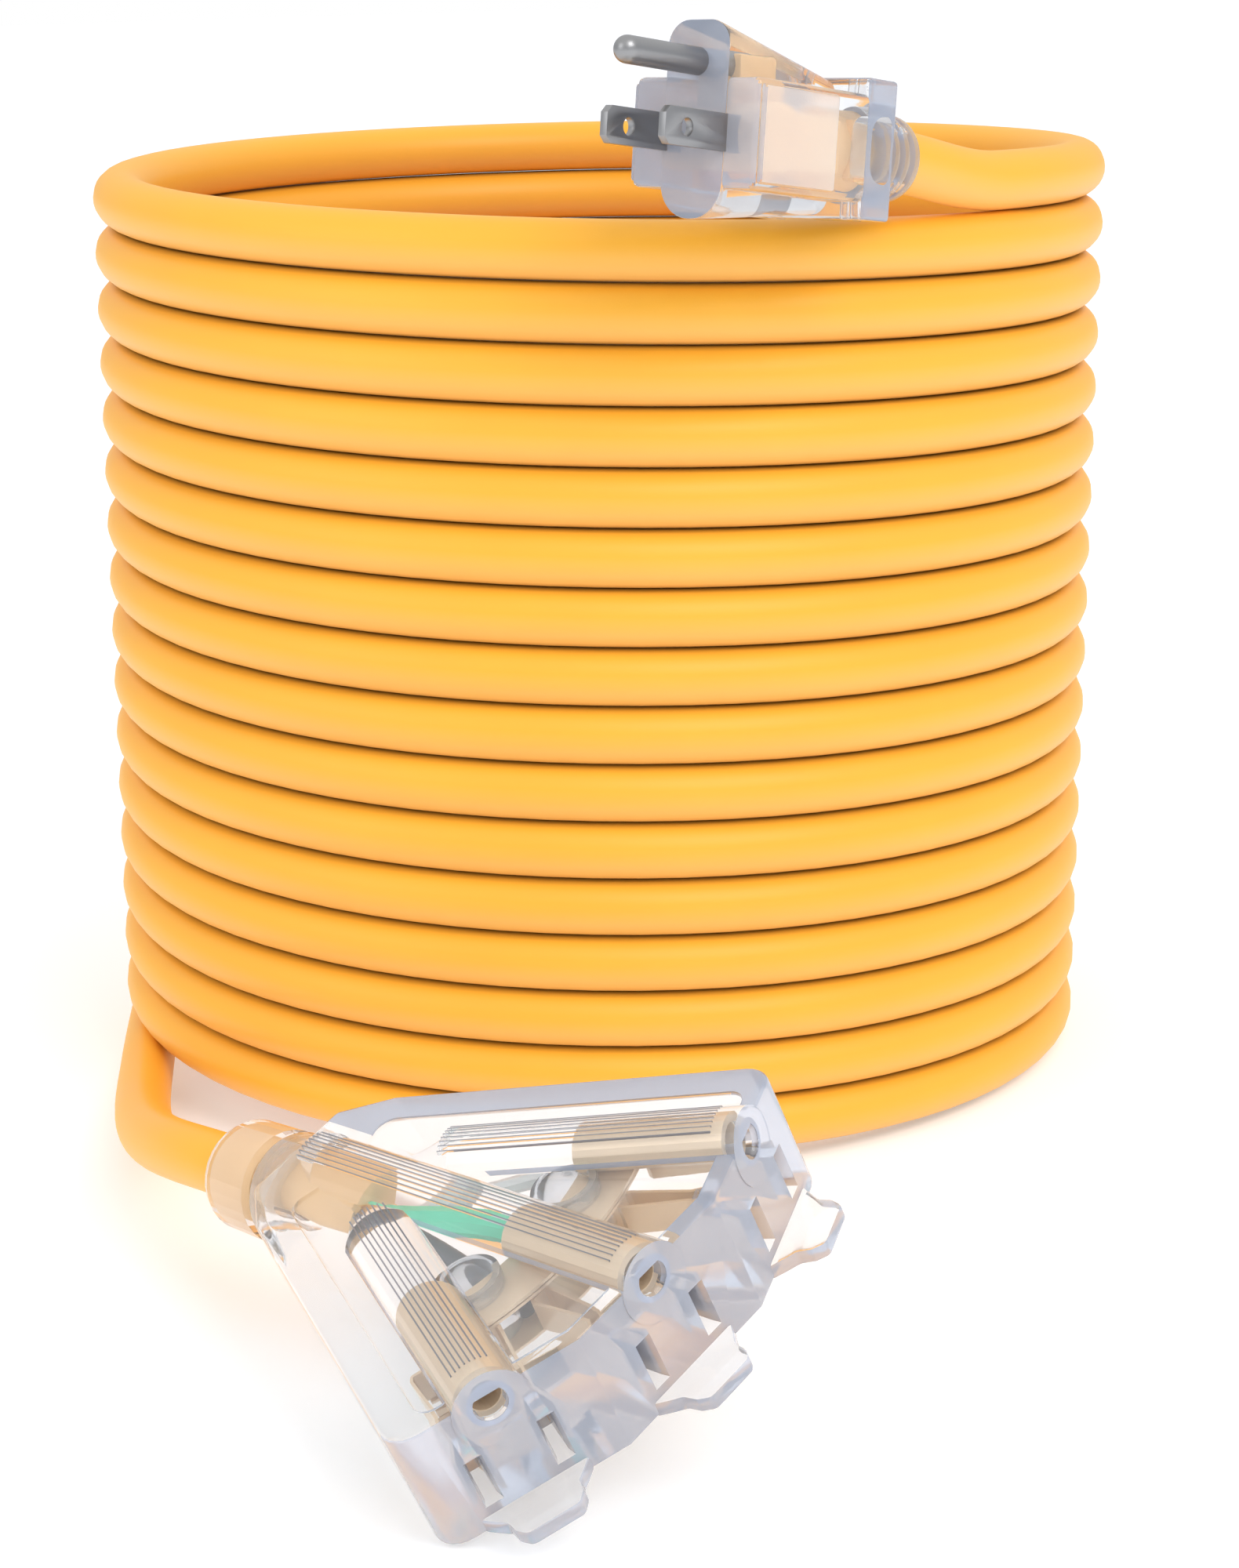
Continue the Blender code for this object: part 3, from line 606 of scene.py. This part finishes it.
body = softened(stood(slab(
    lobe_outline(LOBE_Y, LOBE_LOW, LOBE_TOP, LOBE_R), 0.0, LOBE_BACK,
    lobe_outline(LOBE_Y * 0.9, -FLANGE_Z + 2 * SKIN, FLANGE_Z - 2 * SKIN,
                 LOBE_BACK_R))), 0.0004, 2, 50)
wings = softened(brick(WING_X, (-WING_Y, WING_Y), (-WING_Z, WING_Z)), 0.0012, 3)
flange = softened(brick(FLANGE_X, (-FLANGE_Y, FLANGE_Y), (-FLANGE_Z, FLANGE_Z)),
                  0.0007, 3)
merged(body, wings, flange)
for s in (-1, 1):
    outer = sorted((s * (WING_Y - 0.001), s * (WING_Y + GRIP_RISE)))
    merged(body, softened(brick(GRIP_X, outer, (-GRIP_Z, GRIP_Z)), 0.0007, 3))
    # D-shaped window over the jacket, in each side of the flange
    window = slab(arcs(WINDOW, WINDOW_R), -WINDOW_DEEP, WINDOW_DEEP)
    take(window)
    window.matrix_world = (Matrix.Translation((0.0, s * FLANGE_Y, 0.0))
                           @ Matrix.Rotation(math.pi / 2, 4, "X"))
    bpy.ops.object.transform_apply(location=True, rotation=True, scale=True)
    cut(body, window)
    for x in DIMPLE_X:
        for y in (-DIMPLE_Y, DIMPLE_Y):
            cut(body, upright_rod(DIMPLE_R, x, y, sorted(s * z for z in DIMPLE_Z), 20))
body = settled(body, "plug_moulding", PLUG, 30.0)

clear_vinyl = finish("clear_vinyl", (0.965, 0.98, 1.0), 0.06, 0.0005, 0.000005, 0.02,
                     Transmission_Weight=0.90, IOR=1.16, Coat_Weight=0.7,
                     Coat_Roughness=0.06, Coat_IOR=1.5)
# The darker blue-grey copies of the clear vinyl below are laid on faces by how they face
# and on which side: partly the tint of thicker vinyl, partly painted shade.
deep_and_shaded_vinyl = finish("deep_and_shaded_vinyl", (0.60, 0.645, 0.755), 0.08, 0.0005, 0.000004, 0.03,
                    Transmission_Weight=0.52, IOR=1.14, Coat_Weight=0.5,
                    Coat_Roughness=0.12, Coat_IOR=1.5)
frosted_vinyl = finish("frosted_vinyl", (0.93, 0.92, 0.93), 0.38, 0.0004, 0.000030, 0.06,
                       Transmission_Weight=0.62, IOR=1.16, Coat_Weight=0.35,
                       Coat_Roughness=0.25, Coat_IOR=1.5)
thick_and_shaded_vinyl = finish("thick_and_shaded_vinyl", (0.42, 0.465, 0.565), 0.22, 0.0005, 0.000010, 0.05,
                     Transmission_Weight=0.40, IOR=1.12, Coat_Weight=0.5,
                     Coat_Roughness=0.12, Coat_IOR=1.5)


def dressed_by_place(piece, where, finishes, pick):
    """Gives each face the finish that pick returns for its normal and middle,
    which are in the axes of the plug or the outlet."""
    piece.data.materials.clear()
    for made in finishes:
        piece.data.materials.append(made)
    back = where.inverted()
    turn = back.to_3x3()
    for face in piece.data.polygons:
        picked = pick(turn @ face.normal, back @ face.center)
        face.material_index = finishes.index(picked)


def plug_finish(n, p):
    """Frosted grips, and a darker blue-grey on flat faces, partly thicker vinyl and
    partly painted shade: one wing of the front face lighter than the rest, and the
    flange darker.
    """
    flange_side = abs(p.y) > FLANGE_Y - SKIN or p.z > FLANGE_Z - SKIN
    if abs(n.y) > 0.9 and abs(p.y) > WING_Y + 2 * SKIN:
        return frosted_vinyl
    # front face painted darker blue-grey, partly thicker vinyl and partly painted shade,
    # lighter on one wing
    if n.x > 0.7 and p.x > -0.004:
        return deep_and_shaded_vinyl if p.y > LOBE_Y else thick_and_shaded_vinyl
    # flange sides and top painted darker in the same way
    if FLANGE_X[0] < p.x < FLANGE_X[1] and flange_side:
        return thick_and_shaded_vinyl
    return clear_vinyl


dressed_by_place(body, PLUG, (clear_vinyl, deep_and_shaded_vinyl, frosted_vinyl, thick_and_shaded_vinyl),
                 plug_finish)
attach(body, "root")
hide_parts("plug_body")

# ---------------------------------------------------------- plug's strain relief
# Sleeve moulded with the plug round the cord: a root, four rings and four bars
# along the cord between them, so that it bends with the cord and keeps its
# shape.
RELIEF_ROOT_R, RELIEF_ROOT_X = 0.0078, (-0.0430, -0.0403)
RING_FIRST, RING_PITCH, RING_THICK = -0.0449, 0.0036, 0.0016
RING_R, RING_SHRINK = 0.0089, 0.0003
BAR_X, BAR_Y, BAR_Z = (PLUG_RELIEF_END, -0.0420), 0.0012, (0.0050, 0.0076)
RELIEF_BORE_R, RELIEF_BORE_X = CORD_D / 2 + 0.0002, (-0.0600, -0.0390)

relief = rod(RELIEF_ROOT_R, RELIEF_ROOT_X, sides=48)
for i in range(4):
    ring_x = RING_FIRST - RING_PITCH * i
    ring = rod(RING_R - RING_SHRINK * i, (ring_x - RING_THICK, ring_x), sides=48)
    merged(relief, softened(ring, 0.00035, 2))
for k in range(4):
    bar = softened(brick(BAR_X, (-BAR_Y, BAR_Y), BAR_Z), 0.0003, 2)
    take(bar)
    bar.matrix_world = Matrix.Rotation(math.pi / 4 + k * math.pi / 2, 4, "X")
    bpy.ops.object.transform_apply(location=True, rotation=True, scale=True)
    merged(relief, bar)
cut(relief, rod(RELIEF_BORE_R, RELIEF_BORE_X, sides=48))
relief = settled(relief, "plug_relief_moulding", PLUG, 35.0)
# faces across the cord get the darker blue-grey, partly thicker vinyl and partly painted
# shade
dressed_by_place(relief, PLUG, (clear_vinyl, deep_and_shaded_vinyl),
                 lambda n, p: deep_and_shaded_vinyl if abs(n.x) > 0.7 else clear_vinyl)
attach(relief, "root")
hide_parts("plug_strain_relief")

# ----------------------------------------------------------- triple outlet's body
# Clear vinyl moulded over the contacts: a fan with three flat outlet faces, a
# bordered top, a ribbed ridge over each earth sleeve and a short ledge under
# each face that keeps dust out of the slots.
FAN = math.radians(23.2)
TAP_LOW, TAP_TOP = -0.0090, 0.0142
FLANK = 0.0165
NECK_R = 0.0105
NECK_X = (-0.0172, -0.0060)
RIDGE_R, RIDGE_Z = 0.0066, 0.0110
RIDGE_BACK = {-1: 0.0258, 0: 0.0008, 1: 0.0258}
RIDGE_PROUD = 0.0002
RIDGE_TAPER, RIDGE_TIP_R = 0.0110, 0.0022
BORDER = 0.0062
PANEL_DROP = 0.0008
PANEL_X = (0.0040, FACE_RHO - 0.0030)
BLADE_SLOT = (0.0011, 0.0041)
SLOT_MOUTH = (0.0016, 0.0046)
SLOT_DEEP, MOUTH_DEEP = 0.0090, 0.0014
EARTH_HOLE_R, EARTH_HOLE_FLAT, EARTH_HOLE_DEEP = 0.0029, 0.0019, 0.0120
EARTH_RIM, EARTH_RIM_DEEP = 0.0010, 0.0010
TONGUE = [(-0.0040, 0.0098), (-0.0002, 0.0096), (0.0018, 0.0080), (0.0036, 0.0064),
          (0.0062, 0.0060), (0.0083, 0.0046)]
TONGUE_R = [0.0, 0.0012, 0.0012, 0.0014, 0.0012, 0.0016]
TONGUE_THICK = 0.0028
RIB_BACK = {-1: 0.0240, 0: -0.0040, 1: 0.0240}
RIB_FRONT = FACE_RHO - 0.0040
RIBS, RIB_PITCH, RIB_W, RIB_H = 8, 0.00088, 0.00026, 0.00022
PAST = 0.00002


def along(angle, x, y):
    return (x * math.cos(angle) - y * math.sin(angle),
            x * math.sin(angle) + y * math.cos(angle))


def fan(inset, front, back, corner):
    """Fan outline: rear, straight flanks, three flat faces."""
    s = FLANK - inset
    rim = front / math.cos(FAN / 2)
    left = [(back, NECK_R - inset), along(FAN, 0.0060, s), along(FAN, front, s)]
    middle = [(rim * math.cos(FAN / 2), rim * math.sin(FAN / 2)),
              (rim * math.cos(FAN / 2), -rim * math.sin(FAN / 2))]
    right = [(x, -y) for x, y in reversed(left)]
    return arcs(left + middle + right,
                [0.0, 0.0035, corner, 0.0015, 0.0015, corner, 0.0035, 0.0])


def fanned(piece, k, lift=0.0):
    """Turns a piece modelled on the middle outlet's axis to outlet k."""
    take(piece)
    piece.matrix_world = (Matrix.Rotation(FAN * k, 4, "Z")
                          @ Matrix.Translation((0.0, 0.0, lift)))
    bpy.ops.object.transform_apply(location=True, rotation=True, scale=True)
    return piece


def ridge_top(y):
    return RIDGE_Z + math.sqrt(RIDGE_R**2 - y**2)


housing = softened(slab(fan(0.0, FACE_RHO, -0.0100, 0.0050), TAP_LOW, TAP_TOP),
                   0.0010, 3, 50)
cut(housing, softened(slab(fan(BORDER, PANEL_X[1], PANEL_X[0], 0.0030),
                           TAP_TOP - PANEL_DROP, TAP_TOP + 0.003), 0.0005, 2, 50))
merged(housing, softened(rod(NECK_R, NECK_X, 0.0, NECK_Z, 48), 0.0006, 2))
tongue = [(FACE_RHO + x, -y) for x, y in TONGUE]
tongue += [(x, -y) for x, y in reversed(tongue)]
for k in (-1, 0, 1):
    back = RIDGE_BACK[k]
    ridge = rod(RIDGE_R, (back, FACE_RHO + RIDGE_PROUD), sides=48)
    merged(ridge, rod(RIDGE_TIP_R, (back + RIDGE_PROUD - RIDGE_TAPER,
                                    back + RIDGE_PROUD), sides=48, tip=RIDGE_R))
    merged(housing, fanned(softened(ridge, 0.0006, 3, 50), k, RIDGE_Z))
    ledge = slab(arcs(tongue, TONGUE_R + TONGUE_R[::-1], 4), TAP_LOW,
                 TAP_LOW + TONGUE_THICK)
    merged(housing, fanned(softened(ledge, 0.0005, 2, 50), k))
for k in (-1, 0, 1):
    for i in range(RIBS):
        y = (i - (RIBS - 1) / 2) * RIB_PITCH
        rib = brick((RIB_BACK[k], RIB_FRONT), (y - RIB_W / 2, y + RIB_W / 2),
                    (ridge_top(y) - 0.0006, ridge_top(y) + RIB_H))
        merged(housing, fanned(rib, k))
for k in (-1, 0, 1):
    for y in (-BLADE_Y, BLADE_Y):
        w, h = BLADE_SLOT
        slot = brick((FACE_RHO - SLOT_DEEP, FACE_RHO + 0.001), (y - w, y + w), (-h, h))
        v, g = SLOT_MOUTH
        flare = [(y - w, -h), (y + w, -h), (y + w, h), (y - w, h)]
        wide = [(y - v, -g), (y + v, -g), (y + v, g), (y - v, g)]
        mouth = stood(slab(flare, FACE_RHO - MOUTH_DEEP, FACE_RHO + PAST, wide))
        cut(housing, fanned(slot, k), fanned(mouth, k))
    hole = rod(EARTH_HOLE_R, (FACE_RHO - EARTH_HOLE_DEEP, FACE_RHO + 0.001), sides=40)
    cut(hole, brick((FACE_RHO - 0.02, FACE_RHO + 0.01), (-0.004, 0.004),
                    (EARTH_HOLE_FLAT, 0.004)))
    rim = rod(EARTH_HOLE_R, (FACE_RHO - EARTH_RIM_DEEP, FACE_RHO + PAST), sides=40,
              tip=EARTH_HOLE_R + EARTH_RIM)
    cut(housing, fanned(hole, k, PIN_Z), fanned(rim, k, PIN_Z))

# the far half of the border becomes faces of its own, so that painted shade can be laid
# on it
BORDER_SPLIT = 0.0078
take(housing)
bpy.ops.object.mode_set(mode="EDIT")
bpy.ops.mesh.select_all(action="SELECT")
bpy.ops.mesh.bisect(plane_co=(0.0, BORDER_SPLIT, 0.0), plane_no=(0.0, 1.0, 0.0))
bpy.ops.object.mode_set(mode="OBJECT")
housing = settled(housing, "tap_moulding", TAP, 30.0)


# dark grey vinyl for the ribs: painted shade
shaded_rib_vinyl = finish("shaded_rib_vinyl", (0.25, 0.26, 0.30), 0.30, 0.0005, 0.000004, 0.03,
                   Transmission_Weight=0.35, IOR=1.12)


def on_rib(p):
    for k in (-1, 0, 1):
        x, y = along(-FAN * k, p.x, p.y)
        if abs(y) < RIDGE_R * 0.6 and x < FACE_RHO - 0.0030:
            if p.z > ridge_top(y) + RIB_H * 0.2:
                return True
    return False


def outlet_finish(n, p):
    """Ribs painted dark, a painted shade; the faces a darker blue-grey, partly
    thicker vinyl and partly painted shade; the far border darker still, a painted
    shade.
    """
    # ribs painted dark: a painted shade
    if on_rib(p):
        return shaded_rib_vinyl
    # far half of the border painted darker: a painted shade
    if p.y > BORDER_SPLIT - 0.0002 and TAP_TOP - 0.0004 < p.z < TAP_TOP + 0.0002:
        return thick_and_shaded_vinyl
    # faces near the front get a darker blue-grey, partly thicker vinyl and partly
    # painted shade
    if abs(n.z) < 0.6 and p.x > 0.060:
        return deep_and_shaded_vinyl
    return clear_vinyl


dressed_by_place(housing, TAP, (clear_vinyl, deep_and_shaded_vinyl, shaded_rib_vinyl, thick_and_shaded_vinyl),
                 outlet_finish)
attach(housing, "root")
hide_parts("tap_shell", "tap_outlet_block")

# ------------------------------------------------- outlet's screw bosses, collar
# Two clear bosses between the outlets hold the bus plates at their height, and a
# tan sleeve lies under the clear collar where the cord comes in.
BOSS_X, BOSS_Y = 0.0470, 0.0118
BOSS_R, BOSS_WALL = 0.0058, 0.0012
BOSS_Z = (-0.0060, 0.0115)
BOSS_BORE_Z = (-0.0070, 0.0125)
SLEEVE_R, SLEEVE_X = 0.0078, (-0.0316, -0.0208)
boss_vinyl = finish("boss_vinyl", (0.86, 0.89, 0.94), 0.05, 0.0005, 0.000004, 0.03,
                    Transmission_Weight=0.92, IOR=1.42, Coat_Weight=0.5,
                    Coat_Roughness=0.05, Coat_IOR=1.5)
for name, s in (("tap_post_right", -1), ("tap_post_left", 1)):
    boss = upright_rod(BOSS_R, BOSS_X, s * BOSS_Y, BOSS_Z, 40)
    cut(boss, upright_rod(BOSS_R - BOSS_WALL, BOSS_X, s * BOSS_Y, BOSS_BORE_Z, 40))
    boss = settled(softened(boss, 0.0003, 2), name + "_boss", TAP, 35.0)
    dress(boss, boss_vinyl)
    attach(boss, "root")
    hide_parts(name)
sleeve = softened(rod(SLEEVE_R, SLEEVE_X, 0.0, NECK_Z, 48), 0.0006, 2)
cut(sleeve, rod(CORD_D / 2 + 0.0001, (-0.04, -0.01), 0.0, NECK_Z, 48))
sleeve = settled(sleeve, "tap_collar_sleeve", TAP, 35.0)
dress(sleeve, tan_insert)
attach(sleeve, "root")

# ------------------------------------------------- outlet's clamp and live wire
# A tan nylon sleeve crimped round the jacket's end takes the pull of the cord.
# The black live conductor leaves the jacket under the green one and runs to the
# lower bus plate.
BAND_R, BAND_X = 0.0066, (-0.0150, 0.0086)
band = softened(rod(BAND_R, BAND_X, 0.0, NECK_Z, 48), 0.0006, 2)
cut(band, rod(CORD_D / 2 - 0.0002, (-0.02, TAP_JACKET_END), 0.0, NECK_Z, 48))
band = settled(band, "tap_cord_band", TAP, 35.0)
dress(band, tan_insert)
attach(band, "root")
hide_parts("tap_cord_clamp")

LIVE_R = 0.0019
live_line = swept(Vector((TAP_JACKET_END, -0.0020, NECK_Z - 0.0016)),
                  Vector((0.016, 0.0, 0.0)),
                  Vector((0.0520, -0.0065, -0.0037)), Vector((0.014, -0.002, 0.0)), 18)
live, _ = tube_mesh("tap_wire_live", [TAP @ p for p in live_line], LIVE_R, 20)
black = finish("black_insulation", (0.13, 0.13, 0.145), 0.42, 0.0004, 0.00001, 0.08)
dress(live, black)
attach(live, "root")
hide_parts("tap_wire_hot")

# ---------------------------------------------------------------- inner metal
# The outlet's contacts are stamped from brass strip: curved bus plates, spring
# clips behind the blade slots and split sleeves behind the earth holes. The
# green and white conductors run to the plates. Their solids stay as they are.
brass = finish("brass", (0.88, 0.69, 0.48), 0.32, 0.0004, 0.00001, 0.12, Metallic=0.3)
green = finish("green_insulation", (0.16, 0.80, 0.50), 0.42, 0.0004, 0.00001, 0.08)
white = finish("white_insulation", (0.80, 0.80, 0.80), 0.42, 0.0004, 0.00001, 0.08)
INNER = (("tap_wire_earth", green), ("tap_wire_neutral", white),
         ("tap_bus_", brass), ("tap_clip_", brass), ("tap_earth_sleeve_", brass),
         ("tap_strain_relief", clear_vinyl))
for start, made in INNER:
    for name, node in frame["nodes"].items():
        if name.startswith(start):
            dress(node, made)

# ------------------------------------------------------------------ floor, light
# A plain pale floor, which glows a little so that it stays white, and soft white
# light from all round, with a large soft box at the right and a weak one at the
# left. The background itself is plain white.
bpy.ops.object.select_all(action="DESELECT")
bpy.ops.mesh.primitive_plane_add(size=60.0, location=(0.0, 0.0, -0.0002))
floor = bpy.context.object
floor.name = "floor"
pale = bpy.data.materials.new("pale_floor")
pale.use_nodes = True
shader = pale.node_tree.nodes["Principled BSDF"]
shader.inputs["Base Color"].default_value = (0.80, 0.81, 0.83, 1.0)
shader.inputs["Roughness"].default_value = 0.9
shader.inputs["Specular IOR Level"].default_value = 0.1
shader.inputs["Emission Color"].default_value = (1.0, 1.0, 1.0, 1.0)
shader.inputs["Emission Strength"].default_value = 0.30
dress(floor, pale)

scene = bpy.context.scene
scene.world = bpy.data.worlds.new("studio")
scene.world.use_nodes = True
tree = scene.world.node_tree
sky = tree.nodes["Background"]
sky.inputs["Strength"].default_value = 1.0
way = tree.nodes.new("ShaderNodeTexCoord")
split = tree.nodes.new("ShaderNodeSeparateXYZ")
tree.links.new(way.outputs["Generated"], split.inputs["Vector"])
fade = tree.nodes.new("ShaderNodeValToRGB")
fade.color_ramp.elements[0].position = 0.0
fade.color_ramp.elements[0].color = (0.62, 0.64, 0.68, 1.0)
fade.color_ramp.elements[1].position = 0.75
fade.color_ramp.elements[1].color = (1.0, 1.0, 1.0, 1.0)
tree.links.new(split.outputs["Z"], fade.inputs["Fac"])
seen = tree.nodes.new("ShaderNodeLightPath")
plain = tree.nodes.new("ShaderNodeMix")
plain.data_type = "RGBA"
plain.inputs["B"].default_value = (1.0, 1.0, 1.0, 1.0)
tree.links.new(seen.outputs["Is Camera Ray"], plain.inputs["Factor"])
tree.links.new(fade.outputs["Color"], plain.inputs["A"])
tree.links.new(plain.outputs["Result"], sky.inputs["Color"])
scene.view_settings.view_transform = "Standard"


def soft_box(name, at, aim, size, power):
    lamp = bpy.data.lights.new(name, "AREA")
    lamp.shape = "RECTANGLE"
    lamp.size, lamp.size_y = size
    lamp.energy = power
    box = bpy.data.objects.new(name, lamp)
    scene.collection.objects.link(box)
    box.location = at
    box.rotation_euler = (Vector(aim) - Vector(at)).to_track_quat("-Z", "Y").to_euler()


soft_box("key_light", (0.9, -1.3, 1.5), (0.0, 0.0, 0.1), (1.2, 1.0), 15.0)
soft_box("fill_light", (-1.4, -0.9, 0.9), (0.0, 0.0, 0.1), (1.0, 1.0), 4.0)
